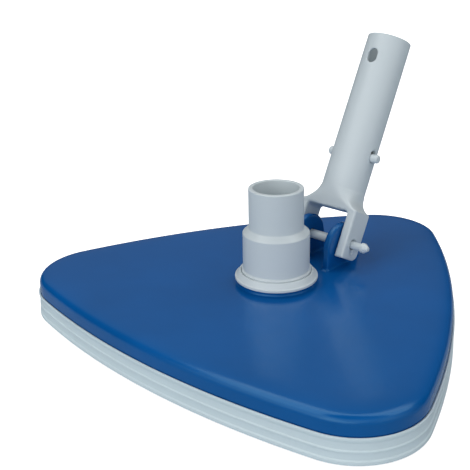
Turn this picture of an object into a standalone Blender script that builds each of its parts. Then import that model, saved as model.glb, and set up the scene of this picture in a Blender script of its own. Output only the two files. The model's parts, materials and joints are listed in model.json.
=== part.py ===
"""Triangular weighted vacuum head for a swimming pool, worked by hand on a telescopic pole.

Metres, +Z up. The origin is on the pool floor under the middle of the outline. The corner that
the handle leans towards points along +Y, and the head is symmetric about X = 0.
"""

import math

import bmesh
import bpy
from mathutils import Matrix, Vector

GAP = 0.0003  # clearance between pieces that rest on each other

# Outline of the blue cover: three side arcs joined by three corner arcs.
SIDE_REACH = 0.0999  # centroid to the middle of a side
TIP_REACH = 0.1427  # centroid to the tip of a corner
CORNER_RADIUS = 0.0375
CORNER_STEPS = 8
SIDE_STEPS = 6
CENTROID_Y = (SIDE_REACH - TIP_REACH) / 2

# Heights above the pool floor.
SKIRT_FOOT = 0.0008
COVER_FOOT = 0.0040
PLATE_Z = (0.0090, 0.0120)
RIM_LINE = 0.0146  # where the blue cover meets the bumper
COVER_TOP = 0.0243
COVER_WALL = 0.0030
COVER_ROUNDING = 0.0028
CEILING = COVER_TOP - COVER_WALL

# Offsets from the outline, inwards negative.
SKIRT_PROUD = 0.0016
SKIRT_WALL_IN = -0.0028
LOWER_WALL_OUT = SKIRT_WALL_IN - GAP
LOWER_WALL_IN = -0.0056
PLATE_EDGE = LOWER_WALL_IN - GAP

# Hose cuff, which turns in the collar on the cover's boss.
HOSE_Y = CENTROID_Y + 0.0014
CUFF_LOWER_R = 0.0190
CUFF_UPPER_R = 0.0155
CUFF_TOP = 0.0812
SHOULDER_Z = (0.0546, 0.0577)
CUFF_FOOT = 0.0176
CUFF_FLANGE_R = 0.0220
COLLAR_R = 0.0237
COLLAR_Z = (0.0277, 0.0323)
BOSS_R = 0.0218
BOSS_TOP = COLLAR_Z[0] - GAP
THROAT_R = 0.0165
RUNNING = 0.0004

# Yoke ears and the pin through them.
PIVOT = Vector((0.0, CENTROID_Y + 0.0473, 0.0379))
EAR_X = (0.0100, 0.0142)
EAR_R = 0.0140
EAR_SETBACK = -0.0015
EAR_DROP = 0.0015  # the ear's round is centred this far below the pin
EAR_TOE = 0.0010
EAR_HEEL = 0.0160
PIN_R = 0.0028
PIN_NECK_R = 0.0023
PIN_HOLE_R = 0.0031
PIN_HEAD_R = 0.0048
PIN_CONE = (0.0268, 0.0284, 0.0313)  # start, shoulder and tip of the cone end

# Fork and tube, in the handle's own frame: origin on the pin, local Z along the tube.
LEAN = math.radians(27.3)
TUBE_BACK = 0.0034  # the tube's axis passes this far behind the pin
TUBE_R = 0.0136
TUBE_TIP_R = 0.01325
TUBE_BORE_R = 0.0110
TUBE_TIP = 0.1260
BORE_FLOOR = 0.0270
LEG_X = (0.0148, 0.0208)
LEG_HALF_DEPTH = 0.0081
LEG_FOOT = -0.0092
CROTCH = 0.0182
FLARE_R = 0.0144  # round from leg to tube, at the front and at the rear
REAR_FLARE_R = 0.0085
FLARE_OUT = 0.0015  # the rounds' centre lies this far outside the leg
SHOULDER = 0.0196  # lowest point of the flare's round
SLOT_AT = 0.1120
SLOT_WIDTH = 0.0052
SLOT_LENGTH = 0.0085

# V clip inside the tube.
BUTTON_AT = 0.0533
BUTTON_R = 0.0021
BUTTON_TIP_X = 0.0177
BUTTON_HOLE_R = 0.0028
CLIP_HINGE = (0.0042, 0.0320)
ARM_TIP_X = 0.0096
STRIP_HALF_WIDTH = 0.0040
STRIP_THICK = 0.0008

# Fasteners, weights and brushes.
SCREW_R = 0.0016
SCREW_HEAD_R = 0.0034
SCREW_HOLE_R = 0.0020
PILLAR_R = 0.0042
SIDE_SCREW_REACH = 0.0740
TIP_SCREW_REACH = 0.1270
WEIGHT_Z = (0.0125, 0.0198)
WEIGHT_SCREW_REACH = 0.0800
WEIGHT_NOSE_REACH = 0.0965
WEIGHT_NOSE_R = 0.0200
WEIGHT_SCREW_SEAT = 0.0027
COVER_SCREW_LENGTH = 0.0092
WEIGHT_SCREW_LENGTH = 0.0070
BRUSH_INSET = 0.0125
BRUSH_SEAM = 0.0046  # bristles below, backing strip above
BRUSH_BACK_HALF = 0.0040
BRISTLE_HALF = 0.0030
BRUSH_HALF_ANGLE = math.radians(9.6)
ROUND = 32
SMALL_ROUND = 12

FLAT = Matrix.Identity(4)
FACING_X = Matrix(((0, 0, 1, 0), (1, 0, 0, 0), (0, 1, 0, 0), (0, 0, 0, 1)))
FACING_Y = Matrix(((1, 0, 0, 0), (0, 0, -1, 0), (0, 1, 0, 0), (0, 0, 0, 1)))


# ---------------------------------------------------------------- scene helpers

def clear_scene():
    for obj in list(bpy.data.objects):
        bpy.data.objects.remove(obj, do_unlink=True)


def new_collection(name, hidden=False):
    group = bpy.data.collections.new(name)
    group.hide_render = hidden
    bpy.context.scene.collection.children.link(group)
    return group


def plastic(name, colour, roughness, metallic=0.0):
    mat = bpy.data.materials.new(name)
    mat.use_nodes = True
    shader = mat.node_tree.nodes["Principled BSDF"]
    shader.inputs["Base Color"].default_value = (*colour, 1.0)
    shader.inputs["Roughness"].default_value = roughness
    shader.inputs["Metallic"].default_value = metallic
    return mat


def keep(obj, mat):
    """Gives a finished piece its material and its smooth shading."""
    obj.data.materials.clear()
    obj.data.materials.append(mat)
    obj.data.shade_smooth()
    obj.data.set_sharp_from_angle(angle=math.radians(35))
    return obj


def link(name, data, group):
    obj = bpy.data.objects.new(name, data)
    group.objects.link(obj)
    if group is cutters:
        obj.hide_render = True
        obj.display_type = "WIRE"
    return obj


def combine(obj, other, operation):
    """Adds a Boolean of obj with a helper from the cutters collection."""
    step = obj.modifiers.new(other.name, "BOOLEAN")
    step.operation = operation
    step.solver = "EXACT"
    step.object = other


def cut(obj, *others):
    for other in others:
        combine(obj, other, "DIFFERENCE")


def join(obj, *others):
    for other in others:
        combine(obj, other, "UNION")


# ---------------------------------------------------------------- shape helpers

def polar(centre, radius, angle):
    return (centre[0] + radius * math.cos(angle), centre[1] + radius * math.sin(angle))


def arc(centre, radius, start, end, steps):
    """Points on an arc, both ends included."""
    return [polar(centre, radius, start + (end - start) * i / steps) for i in range(steps + 1)]


def outline_facts():
    """(corner centre distance, side arc radius, half angle of a corner arc)."""
    centre = TIP_REACH - CORNER_RADIUS
    a = centre / 2 - SIDE_REACH
    side = (CORNER_RADIUS**2 - a**2 - 0.75 * centre**2) / (2 * (a + CORNER_RADIUS))
    back = side - SIDE_REACH
    half = math.atan2(back * math.sin(math.pi / 3), centre + back * math.cos(math.pi / 3))
    return centre, side, half


def corner_angle(k):
    return math.pi / 2 + k * math.tau / 3


def rounded_triangle(offset=0.0):
    """The head's outline, grown by offset, as points going round anticlockwise."""
    centre, side, half = outline_facts()
    middle = (0.0, CENTROID_Y)
    points = []
    for k in range(3):
        at = corner_angle(k)
        corner = polar(middle, centre, at)
        points += arc(corner, CORNER_RADIUS + offset, at - half, at + half, CORNER_STEPS)
        side_centre = polar(middle, SIDE_REACH - side, at + math.pi / 3)
        sweep = arc(side_centre, side + offset, at + half, at + math.tau / 3 - half, SIDE_STEPS)
        points += sweep[1:-1]
    return points


def slab(name, points, low, high, group, turn=FLAT):
    """A flat outline extruded from low to high, as a welded mesh."""
    curve = bpy.data.curves.new(name, "CURVE")
    curve.dimensions = "2D"
    curve.fill_mode = "BOTH"
    curve.extrude = (high - low) / 2
    spline = curve.splines.new("POLY")
    spline.use_cyclic_u = True
    spline.points.add(len(points) - 1)
    for place, (x, y) in zip(spline.points, points):
        place.co = (x, y, 0.0, 1.0)
    return welded(name, curve, turn @ Matrix.Translation((0, 0, (low + high) / 2)), group)


def welded(name, curve, matrix, group):
    """Turns a curve into a mesh object whose points are already moved by matrix."""
    holder = bpy.data.objects.new(name + "_curve", curve)
    bpy.context.scene.collection.objects.link(holder)
    graph = bpy.context.evaluated_depsgraph_get()
    mesh = bpy.data.meshes.new_from_object(holder.evaluated_get(graph))
    bpy.data.objects.remove(holder, do_unlink=True)
    mesh.transform(matrix)
    body = bmesh.new()
    body.from_mesh(mesh)
    bmesh.ops.remove_doubles(body, verts=body.verts, dist=1e-6)
    bmesh.ops.recalc_face_normals(body, faces=body.faces)
    body.to_mesh(mesh)
    body.free()
    mesh.name = name
    return link(name, mesh, group)


def rod(name, radius, low, high, group, at=(0.0, 0.0), turn=FLAT, top_radius=None, steps=ROUND):
    """A cylinder or cone along local Z."""
    body = bmesh.new()
    bmesh.ops.create_cone(
        body, cap_ends=True, segments=steps, radius1=radius,
        radius2=radius if top_radius is None else top_radius, depth=high - low)
    mesh = bpy.data.meshes.new(name)
    body.to_mesh(mesh)
    body.free()
    mesh.transform(turn @ Matrix.Translation((at[0], at[1], (low + high) / 2)))
    return link(name, mesh, group)


def turned(name, profile, steps, group, closed=True):
    """A profile of (radius, height) turned round Z. It runs down its outer side."""
    body = bmesh.new()
    points = [body.verts.new((r, 0.0, z)) for r, z in profile]
    for first, second in zip(points, points[1:] + points[:1] if closed else points[1:]):
        body.edges.new((first, second))
    mesh = bpy.data.meshes.new(name)
    body.to_mesh(mesh)
    body.free()
    obj = link(name, mesh, group)
    screw = obj.modifiers.new("turn", "SCREW")
    screw.steps = screw.render_steps = steps
    screw.use_merge_vertices = True
    screw.merge_threshold = 1e-6
    return obj


def soften_top(obj, height, width, segments):
    """Joins the top face into one and rounds its rim."""
    body = bmesh.new()
    body.from_mesh(obj.data)
    top = [f for f in body.faces if all(abs(v.co.z - height) < 1e-5 for v in f.verts)]
    cap = bmesh.ops.dissolve_faces(body, faces=top)["region"]
    rim = [e for face in cap for e in face.edges]
    bmesh.ops.bevel(body, geom=rim, offset=width, segments=segments, profile=0.5, affect="EDGES")
    body.to_mesh(obj.data)
    body.free()


# ---------------------------------------------------------------- head shell

def ear_outline():
    """Side view of a yoke ear, in Y and Z."""
    centre = (PIVOT.y + EAR_SETBACK, PIVOT.z - EAR_DROP)
    foot = COVER_TOP - 0.0010
    front = (centre[0] - EAR_R - EAR_TOE, foot)
    back = (PIVOT.y + EAR_HEEL, foot)
    return [back, *arc(centre, EAR_R, math.radians(22), math.radians(186), 12), front]


def screw_places():
    """Centres of the six cover screws: three near the tips, three inside the sides."""
    middle = (0.0, CENTROID_Y)
    tips = [polar(middle, TIP_SCREW_REACH, corner_angle(k)) for k in range(3)]
    sides = [polar(middle, SIDE_SCREW_REACH, corner_angle(k) + math.pi / 3) for k in range(3)]
    return tips + sides


def weight_screw_places():
    return [polar((0.0, CENTROID_Y), WEIGHT_SCREW_REACH, corner_angle(k)) for k in range(3)]


def make_top_cover():
    cover = slab("top_cover", rounded_triangle(), RIM_LINE, COVER_TOP, parts)
    soften_top(cover, COVER_TOP, COVER_ROUNDING, 3)
    join(cover, slab("lower_wall", rounded_triangle(LOWER_WALL_OUT), COVER_FOOT,
                     RIM_LINE + 0.001, cutters))
    join(cover, rod("hose_boss", BOSS_R, COVER_TOP - 0.002, BOSS_TOP, cutters, (0, HOSE_Y)))
    for side in (-1, 1):
        low, high = sorted((side * EAR_X[0], side * EAR_X[1]))
        ear = slab(f"ear_{side}", ear_outline(), low, high, cutters, FACING_X)
        cut(ear, rod(f"ear_bore_{side}", PIN_HOLE_R, low - 0.002, high + 0.002, cutters,
                     (PIVOT.y, PIVOT.z), FACING_X, steps=16))
        join(cover, ear)
    cut(cover, slab("lower_hollow", rounded_triangle(LOWER_WALL_IN), 0.0, RIM_LINE + 0.0030,
                    cutters))
    cut(cover, slab("upper_hollow", rounded_triangle(-COVER_WALL - 0.0006), RIM_LINE + 0.0020,
                    CEILING, cutters))
    for i, place in enumerate(screw_places()):
        pillar = rod(f"pillar_{i}", PILLAR_R, PLATE_Z[1] + GAP, CEILING + 0.001, cutters, place,
                     steps=16)
        join(cover, pillar)
        cut(cover, rod(f"pillar_bore_{i}", SCREW_HOLE_R, 0.008, 0.0190, cutters, place,
                       steps=SMALL_ROUND))
    for i, place in enumerate(weight_screw_places()):
        cut(cover, rod(f"weight_bore_{i}", SCREW_HOLE_R, 0.018, CEILING + 0.0012, cutters, place,
                       steps=SMALL_ROUND))
    cut(cover, rod("hose_bore", CUFF_LOWER_R + RUNNING, 0.0, 0.06, cutters, (0, HOSE_Y)))
    return keep(cover, blue)


def bumper_profile():
    """Section of the vinyl skirt as (offset, height): three beads outside, a lip inside."""
    top, foot = RIM_LINE - GAP, SKIRT_FOOT
    return [
        (SKIRT_WALL_IN, top),
        (0.0004, top),
        (0.0008, top - 0.0012),
        (0.0003, top - 0.0024),
        (0.0003, 0.0086),
        (0.0012, 0.0074),
        (0.0012, 0.0064),
        (0.0005, 0.0054),
        (0.0005, 0.0030),
        (SKIRT_PROUD, 0.0020),
        (SKIRT_PROUD, foot + 0.0003),
        (SKIRT_PROUD - 0.0003, foot),
        (-0.0066, foot),
        (-0.0066, COVER_FOOT - GAP),
        (SKIRT_WALL_IN, COVER_FOOT - GAP),
    ]


def make_bumper():
    """Sweeps the section round the outline."""
    section = bpy.data.curves.new("bumper_section", "CURVE")
    section.dimensions = "2D"
    spline = section.splines.new("POLY")
    spline.use_cyclic_u = True
    profile = bumper_profile()
    spline.points.add(len(profile) - 1)
    for place, (offset, height) in zip(spline.points, profile):
        place.co = (offset, height, 0.0, 1.0)
    guide = link("bumper_section", section, cutters)
    path = bpy.data.curves.new("bumper", "CURVE")
    path.dimensions = "3D"
    path.fill_mode = "FULL"
    path.twist_mode = "Z_UP"
    path.bevel_mode = "OBJECT"
    path.bevel_object = guide
    spline = path.splines.new("POLY")
    spline.use_cyclic_u = True
    points = rounded_triangle()
    spline.points.add(len(points) - 1)
    for place, (x, y) in zip(spline.points, points):
        place.co = (x, y, 0.0, 1.0)
    return keep(welded("bumper", path, FLAT, parts), vinyl)


# ---------------------------------------------------------------- hose cuff

def make_hose_cuff():
    """Stepped cuff with a flange inside the cover that keeps it in."""
    profile = [
        (CUFF_UPPER_R - 0.0022, CUFF_TOP),
        (CUFF_UPPER_R - 0.0006, CUFF_TOP),
        (CUFF_UPPER_R, CUFF_TOP - 0.0006),
        (CUFF_UPPER_R, SHOULDER_Z[1]),
        (CUFF_LOWER_R - 0.0006, SHOULDER_Z[0] + 0.0006),
        (CUFF_LOWER_R, SHOULDER_Z[0] - 0.0002),
        (CUFF_LOWER_R, CUFF_FOOT + 0.0020),
        (CUFF_FLANGE_R, CUFF_FOOT + 0.0020),
        (CUFF_FLANGE_R, CUFF_FOOT),
        (THROAT_R, CUFF_FOOT),
        (THROAT_R, 0.0500),
        (CUFF_UPPER_R - 0.0026, 0.0560),
        (CUFF_UPPER_R - 0.0026, CUFF_TOP - 0.0006),
    ]
    cuff = turned("hose_cuff", profile, ROUND, parts)
    cuff.location = (0, HOSE_Y, 0)
    return keep(cuff, grey)


def make_swivel_collar():
    low, high = COLLAR_Z
    inner = CUFF_LOWER_R + RUNNING
    profile = [
        (inner, high),
        (inner + 0.0012, high),
        (inner + 0.0022, high - 0.0009),
        (COLLAR_R - 0.0004, low + 0.0012),
        (COLLAR_R, low + 0.0007),
        (COLLAR_R - 0.0003, low),
        (inner, low),
    ]
    collar = turned("swivel_collar", profile, ROUND, parts)
    collar.location = (0, HOSE_Y, 0)
    return keep(collar, grey)


def make_swivel_seal():
    low, high = CUFF_FOOT + 0.0020 + GAP, CEILING - GAP
    inner, outer = CUFF_LOWER_R + 0.0003, CUFF_FLANGE_R
    seal = turned("swivel_seal", [(inner, high), (outer, high), (outer, low), (inner, low)],
                  ROUND, parts)
    seal.location = (0, HOSE_Y, 0)
    return keep(seal, rubber)


# ---------------------------------------------------------------- under the cover

def make_base_plate():
    low, high = PLATE_Z
    plate = slab("base_plate", rounded_triangle(PLATE_EDGE), low, high, parts)
    join(plate, rod("throat_wall", CUFF_FLANGE_R, low + 0.001, CUFF_FOOT - GAP, cutters,
                    (0, HOSE_Y)))
    cut(plate, rod("throat_bore", THROAT_R, 0.0, 0.03, cutters, (0, HOSE_Y)))
    for i, place in enumerate(screw_places()):
        cut(plate, rod(f"plate_hole_{i}", SCREW_HOLE_R, 0.0, 0.0145, cutters, place,
                       steps=SMALL_ROUND))
    return keep(plate, dark_blue)


def weight_outline(k):
    """A weight's outline near corner k: round towards the tip, straight towards the hose."""
    at = corner_angle(k)
    middle = (0.0, CENTROID_Y)
    nose = polar(middle, WEIGHT_NOSE_REACH, at)
    points = arc(nose, WEIGHT_NOSE_R, at - math.radians(72), at + math.radians(72), 8)
    for reach, across in ((0.0560, 0.0370), (0.0450, 0.0300), (0.0450, -0.0300), (0.0560, -0.0370)):
        foot = polar(middle, reach, at)
        points.append((foot[0] - across * math.sin(at), foot[1] + across * math.cos(at)))
    return points


def make_weights():
    for k, place in enumerate(weight_screw_places()):
        weight = slab(f"ballast_weight_{k + 1}", weight_outline(k), *WEIGHT_Z, parts)
        cut(weight, rod(f"weight_hole_{k}", SCREW_HOLE_R, 0.0, 0.03, cutters, place,
                        steps=SMALL_ROUND))
        keep(weight, cast)


def make_screw(name, place, seat, length):
    """Pan head below the seat, shank above it."""
    profile = [
        (0.0, seat + length),
        (SCREW_R, seat + length - 0.0008),
        (SCREW_R, seat - GAP),
        (SCREW_HEAD_R, seat - GAP),
        (SCREW_HEAD_R, seat - 0.0012),
        (SCREW_HEAD_R * 0.6, seat - 0.0022),
        (0.0, seat - 0.0022),
    ]
    screw = turned(name, profile, SMALL_ROUND, parts, closed=False)
    screw.location = (*place, 0)
    return keep(screw, steel)


def make_screws():
    for i, place in enumerate(screw_places()):
        make_screw(f"cover_screw_{i + 1}", place, PLATE_Z[0], COVER_SCREW_LENGTH)
    seat = WEIGHT_Z[0] + WEIGHT_SCREW_SEAT
    for i, place in enumerate(weight_screw_places()):
        counterbore = rod(f"counterbore_{i}", SCREW_HEAD_R + GAP, 0.0, seat, cutters, place, steps=16)
        cut(bpy.data.objects[f"ballast_weight_{i + 1}"], counterbore)
        make_screw(f"ballast_screw_{i + 1}", place, seat, WEIGHT_SCREW_LENGTH)


def brush_strip(name, k, half_width, low, high, mat):
    """A strip bent along side k, inside the skirt."""
    _, side, _ = outline_facts()
    at = corner_angle(k) + math.pi / 3
    centre = polar((0.0, CENTROID_Y), SIDE_REACH - side, at)
    radius = side - BRUSH_INSET
    outer = arc(centre, radius + half_width, at - BRUSH_HALF_ANGLE, at + BRUSH_HALF_ANGLE, 10)
    inner = arc(centre, radius - half_width, at + BRUSH_HALF_ANGLE, at - BRUSH_HALF_ANGLE, 10)
    return keep(slab(name, outer + inner, low, high, parts), mat)


def make_brushes():
    for k in range(3):
        brush_strip(f"brush_back_{k + 1}", k, BRUSH_BACK_HALF, BRUSH_SEAM, PLATE_Z[0] - GAP,
                    dark_blue)
        brush_strip(f"bristle_row_{k + 1}", k, BRISTLE_HALF, 0.0, BRUSH_SEAM - GAP, nylon)


# ---------------------------------------------------------------- handle

def make_pivot_pin():
    """Runs along X: a flat head outside one leg, a grooved cone end outside the other."""
    head_x = -LEG_X[1] - GAP
    start, shoulder, tip = PIN_CONE
    profile = [
        (0.0, tip),
        (PIN_NECK_R / 2, tip),
        (PIN_R + 0.0002, shoulder),
        (PIN_R + 0.0002, start),
        (PIN_NECK_R, start - 0.0002),
        (PIN_NECK_R, 0.0190),
        (PIN_R, 0.0186),
        (PIN_R, head_x),
        (PIN_HEAD_R, head_x),
        (PIN_HEAD_R, head_x - 0.0018),
        (PIN_HEAD_R - 0.0010, head_x - 0.0026),
        (0.0, head_x - 0.0026),
    ]
    pin = turned("pivot_pin", profile, 16, parts, closed=False)
    pin.rotation_euler = (0, math.pi / 2, 0)
    pin.location = PIVOT
    return keep(pin, grey)


def empty(name, place, parent=None):
    holder = link(name, None, parts)
    holder.location = place
    holder.parent = parent
    return holder


def on_handle(obj):
    obj.parent = handle_pivot
    return obj


def fork_plate_outline(radius, end, inset=0.0):
    """Front view of the flared plate from the legs up to the tube, right half then left."""
    centre = (LEG_X[1] + FLARE_OUT, SHOULDER + radius)
    flare = arc(centre, radius, math.pi + math.acos((FLARE_OUT + inset) / radius), end, 8)
    right = [(LEG_X[1] - inset, CROTCH + inset), *flare]
    left = [(-x, z) for x, z in reversed(right)]
    return right + left


def leg_outline():
    """Side view of a leg: the rear bottom corner is round."""
    r = 0.0048
    rear = arc((LEG_HALF_DEPTH - r, LEG_FOOT + r), r, math.radians(-90), 0.0, 5)
    top = CROTCH + 0.001
    return [(-LEG_HALF_DEPTH, top), (-LEG_HALF_DEPTH, LEG_FOOT), *rear, (LEG_HALF_DEPTH, top)]


def slot_outline():
    r, half = SLOT_WIDTH / 2, (SLOT_LENGTH - SLOT_WIDTH) / 2
    upper = arc((0.0, SLOT_AT + half), r, 0.0, math.pi, 6)
    lower = arc((0.0, SLOT_AT - half), r, math.pi, math.tau, 6)
    return upper + lower


def button_hole_outline():
    """Side hole, a little longer upwards to let the tilting button through."""
    rise = 0.0013
    upper = arc((TUBE_BACK, BUTTON_AT + rise), BUTTON_HOLE_R, 0.0, math.pi, 6)
    lower = arc((TUBE_BACK, BUTTON_AT), BUTTON_HOLE_R, math.pi, math.tau, 6)
    return upper + lower


def make_handle():
    depth, wide = LEG_HALF_DEPTH, 0.03
    front = fork_plate_outline(FLARE_R, math.radians(158))
    rear = fork_plate_outline(REAR_FLARE_R, math.radians(168), GAP)
    fork = slab("handle_fork", front, -depth, depth, parts, FACING_Y)
    join(fork, slab("rear_flare", rear, GAP - depth, -0.0020, cutters, FACING_Y))
    join(fork, rod("tube", TUBE_R, CROTCH, TUBE_TIP, cutters, (0, TUBE_BACK),
                   top_radius=TUBE_TIP_R, steps=40))
    for side in (-1, 1):
        low, high = sorted((side * LEG_X[0], side * LEG_X[1]))
        join(fork, slab(f"leg_{side}", leg_outline(), low, high, cutters, FACING_X))
    heel = [(depth + GAP, LEG_FOOT), (wide, LEG_FOOT), (wide, CROTCH + wide - depth),
            (depth + GAP, CROTCH + GAP)]
    cut(fork, slab("tube_heel", heel, -wide, wide, cutters, FACING_X))
    cut(fork, rod("tube_bore", TUBE_BORE_R, BORE_FLOOR, TUBE_TIP + 0.01, cutters,
                  (0, TUBE_BACK)))
    cut(fork, slab("tip_slot", slot_outline(), 0.0, 0.02, cutters, FACING_Y))
    cut(fork, slab("button_holes", button_hole_outline(), -0.02, 0.02, cutters, FACING_X))
    cut(fork, rod("leg_bores", PIN_HOLE_R, -wide, wide, cutters, turn=FACING_X, steps=16))
    for helper in cutters.objects:
        if any(step.object is helper for step in fork.modifiers):
            on_handle(helper)
    return keep(on_handle(fork), grey)


def strip_outline(side):
    """Front view of one arm of the clip, from its root up to past the button."""
    root = (side * CLIP_HINGE[0], CLIP_HINGE[1] + GAP)
    tip = (side * ARM_TIP_X, BUTTON_AT + 0.0045)
    along = (Vector(tip) - Vector(root)).normalized()
    across = Vector((along.y, -along.x)) * (STRIP_THICK / 2)
    corners = [Vector(root) + across, Vector(tip) + across, Vector(tip) - across,
               Vector(root) - across]
    return [tuple(c) for c in corners]


def bend_outline():
    """The clip's U bend at the bottom of the bore, open upwards."""
    x, top = CLIP_HINGE
    half = STRIP_THICK / 2
    foot = (0.0, top)
    outer = arc(foot, x + half, math.pi, math.tau, 10)
    inner = arc(foot, x - half, math.tau, math.pi, 10)
    return outer + inner


def clip_slab(name, points):
    low, high = -TUBE_BACK - STRIP_HALF_WIDTH, -TUBE_BACK + STRIP_HALF_WIDTH
    return keep(slab(name, points, low, high, parts, FACING_Y), steel)


def on_hinge(obj, hinge):
    """Hangs obj, which is placed in the handle's frame, on the empty at its hinge."""
    obj.parent = hinge
    obj.matrix_parent_inverse = Matrix.Translation(-hinge.location)


def make_clip_button(name, side):
    """Domed button riveted to the arm, standing out through the tube's side."""
    root = ARM_TIP_X + STRIP_THICK / 2 + GAP
    profile = [
        (0.0, BUTTON_TIP_X),
        (BUTTON_R * 0.55, BUTTON_TIP_X - 0.0003),
        (BUTTON_R * 0.9, BUTTON_TIP_X - 0.0011),
        (BUTTON_R, BUTTON_TIP_X - 0.0021),
        (BUTTON_R, root),
        (0.0, root),
    ]
    button = turned(name, profile, SMALL_ROUND, parts, closed=False)
    button.rotation_euler = (0, side * math.pi / 2, 0)
    button.location = (0, TUBE_BACK, BUTTON_AT)
    return keep(button, grey)


def make_clip():
    on_handle(clip_slab("clip_bend", bend_outline()))
    for side, word in ((-1, "left"), (1, "right")):
        place = Vector((side * CLIP_HINGE[0], TUBE_BACK, CLIP_HINGE[1]))
        hinge = empty(f"clip_hinge_{word}", place, handle_pivot)
        on_hinge(clip_slab(f"clip_arm_{word}", strip_outline(side)), hinge)
        on_hinge(make_clip_button(f"clip_button_{word}", side), hinge)


# ---------------------------------------------------------------- the whole head

clear_scene()
parts = new_collection("manual_vacuum_head")
cutters = new_collection("cutters", hidden=True)

blue = plastic("blue_shell", (0.022, 0.095, 0.28), 0.35)
dark_blue = plastic("plate_blue", (0.018, 0.06, 0.18), 0.45)
grey = plastic("grey_plastic", (0.36, 0.42, 0.47), 0.4)
vinyl = plastic("skirt_vinyl", (0.45, 0.55, 0.60), 0.5)
nylon = plastic("bristle_nylon", (0.75, 0.78, 0.80), 0.6)
rubber = plastic("seal_rubber", (0.02, 0.02, 0.02), 0.7)
cast = plastic("ballast_iron", (0.12, 0.12, 0.12), 0.6, 0.8)
steel = plastic("stainless", (0.62, 0.62, 0.60), 0.25, 1.0)

handle_pivot = empty("handle_pivot", PIVOT)
handle_pivot.rotation_euler = (-LEAN, 0, 0)

make_top_cover()
make_bumper()
make_hose_cuff()
make_swivel_collar()
make_swivel_seal()
make_base_plate()
make_weights()
make_screws()
make_brushes()
make_pivot_pin()
make_handle()
make_clip()
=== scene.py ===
"""Looks of the triangular pool vacuum head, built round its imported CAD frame.

Shapes are worked out in millimetres, in the frame's own axes: +Z up from the pool floor, +Y towards
the corner the handle leans to. Handle pieces are built upright round the pin and then leaned back.
"""

import json
import math
import random
from itertools import product

import bmesh
import bpy
import numpy as np
from mathutils import Matrix, Vector


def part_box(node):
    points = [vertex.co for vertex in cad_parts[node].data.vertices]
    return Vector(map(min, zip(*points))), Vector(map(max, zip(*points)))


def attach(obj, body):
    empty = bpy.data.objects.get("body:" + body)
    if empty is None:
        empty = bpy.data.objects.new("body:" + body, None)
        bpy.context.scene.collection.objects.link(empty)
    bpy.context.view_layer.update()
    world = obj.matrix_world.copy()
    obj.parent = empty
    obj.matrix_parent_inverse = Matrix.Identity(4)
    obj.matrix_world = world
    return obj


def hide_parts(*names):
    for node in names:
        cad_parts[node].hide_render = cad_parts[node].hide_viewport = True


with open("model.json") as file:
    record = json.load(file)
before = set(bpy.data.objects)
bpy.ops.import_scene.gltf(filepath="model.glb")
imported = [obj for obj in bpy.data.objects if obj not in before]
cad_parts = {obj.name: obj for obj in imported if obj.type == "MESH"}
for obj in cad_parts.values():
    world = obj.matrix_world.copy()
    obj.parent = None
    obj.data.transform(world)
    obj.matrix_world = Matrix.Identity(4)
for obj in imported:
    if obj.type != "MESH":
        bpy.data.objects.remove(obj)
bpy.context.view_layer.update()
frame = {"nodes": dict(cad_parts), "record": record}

MM = 0.001


# ---------------------------------------------------------------- places read from the frame

def box_mm(node):
    low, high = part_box(node)
    return low / MM, high / MM


cuff_low, cuff_high = box_mm("hose_cuff")
pin_low, pin_high = box_mm("pivot_pin")
plate_low, _ = box_mm("base_plate")

HOSE = ((cuff_low.x + cuff_high.x) / 2, (cuff_low.y + cuff_high.y) / 2)
PIVOT = Vector((0.0, (pin_low.y + pin_high.y) / 2, (pin_low.z + pin_high.z) / 2))
LEAN = math.radians(27.3)
TOP = 24.7  # flat middle of the cover
GROUND = TOP - 0.02  # where the boss and the ears begin, just under the cover's face
RIM = 14.9  # seam between the cover and the skirt

# Outline of the cover: three side arcs joined by three corner arcs.
SIDE_REACH = 99.9
TIP_REACH = 142.7
CORNER_R = 37.5
CENTROID_Y = (SIDE_REACH - TIP_REACH) / 2
MIDDLE = (0.0, CENTROID_Y)

# The ears: the middle and half thickness of each, and the bore for the pin.
EAR_X, EAR_HALF = 12.1, 2.1
EAR_BORE_R = 3.05

# Under the cover.
PLATE_INSET = 5.9
PLATE_FOOT, PLATE_TOP = plate_low.z, 12.0
RIB_FOOT = PLATE_FOOT - 1.6
THROAT_R = 16.5
BRUSH_INSET = 12.5
BRUSH_HALF_ANGLE = math.radians(9.6)
COVER_SCREW_REACH = (127.0, 74.0)  # near the tips, and inside the sides
COVER_SCREW_LENGTH = 9.2
WEIGHT_SCREW_REACH = 80.0
WEIGHT_SCREW_LENGTH = 7.0
WEIGHT_FOOT, WEIGHT_TOP, WEIGHT_SEAT = 12.5, 19.8, 15.2

# The handle, upright and measured from the middle of the pin.
TUBE_Y = 3.4  # the tube's axis lies behind the pin
TUBE_R, TUBE_TAPER = 13.65, 0.0032
TUBE_FOOT, TUBE_TIP = 18.24, 126.06
BORE_R, BORE_FOOT = 11.0, 27.0
LEG_X, LEG_Y, LEG_FOOT, LEG_CORNER = 20.81, 8.1, -9.17, 4.8
GAP_X = 14.76  # half the room between the legs
WEB_BEND = 18.2  # the web between the legs leans from here up
BODY_TOP = 31.0
FLARE_X, FLARE_UP, FLARE_R = 22.3, 28.1, 8.5  # arc that widens the body down to the legs
SLOT_UP = 112.0
BUTTON_UP, BUTTON_RISE = 53.3, 1.95  # a pressed button moves up by the rise


# ---------------------------------------------------------------- outlines and sections

def polar(centre, radius, angle):
    return (centre[0] + radius * math.cos(angle), centre[1] + radius * math.sin(angle))


def arc(centre, radius, start, end, steps):
    return [polar(centre, radius, start + (end - start) * i / steps) for i in range(steps + 1)]


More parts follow.
